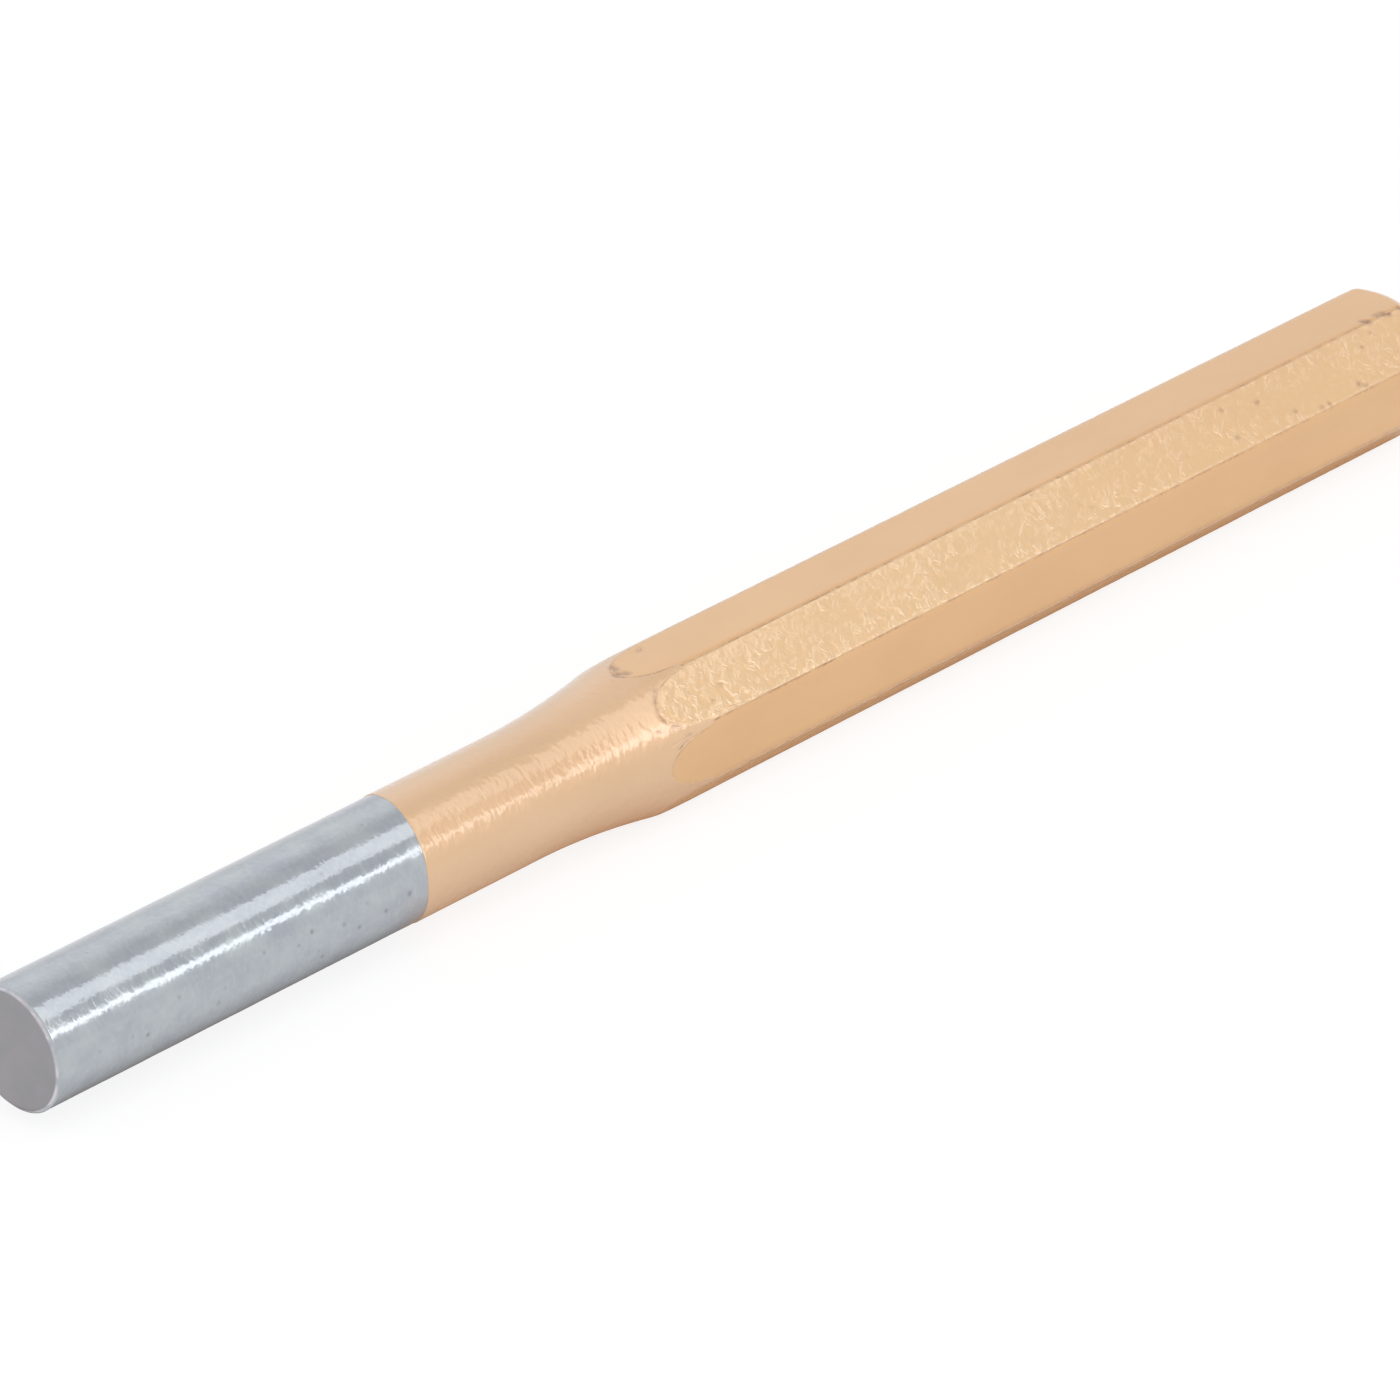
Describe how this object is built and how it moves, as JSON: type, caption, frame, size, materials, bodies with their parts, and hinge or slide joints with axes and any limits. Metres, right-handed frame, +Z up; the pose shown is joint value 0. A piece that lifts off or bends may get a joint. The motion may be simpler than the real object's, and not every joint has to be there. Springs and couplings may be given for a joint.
{
  "type": "pin punch",
  "caption": "Octagonal pin punch: a straight round working pin, a turned neck and an octagonal shank with a bevelled struck head, lacquered except for the bare end of the pin.",
  "frame": {"origin": "centre of the pin's flat end face", "axes": "+X along the tool from the pin's end face to the struck head, +Z up with the tool resting on one flat of its octagon"},
  "size_m": [0.15, 0.012, 0.012],
  "materials": {
    "steel": "bare hardened tool steel, ground along the pin and finely pitted, with a matt end face",
    "lacquer": "thin gold-bronze metallic lacquer, satin, smooth on the ground flats and grainy where it lies over forged skin"
  },
  "bodies": {
    "root": {"steel_forging": "steel", "lacquer_coat": "lacquer"}
  },
  "joints": []
}
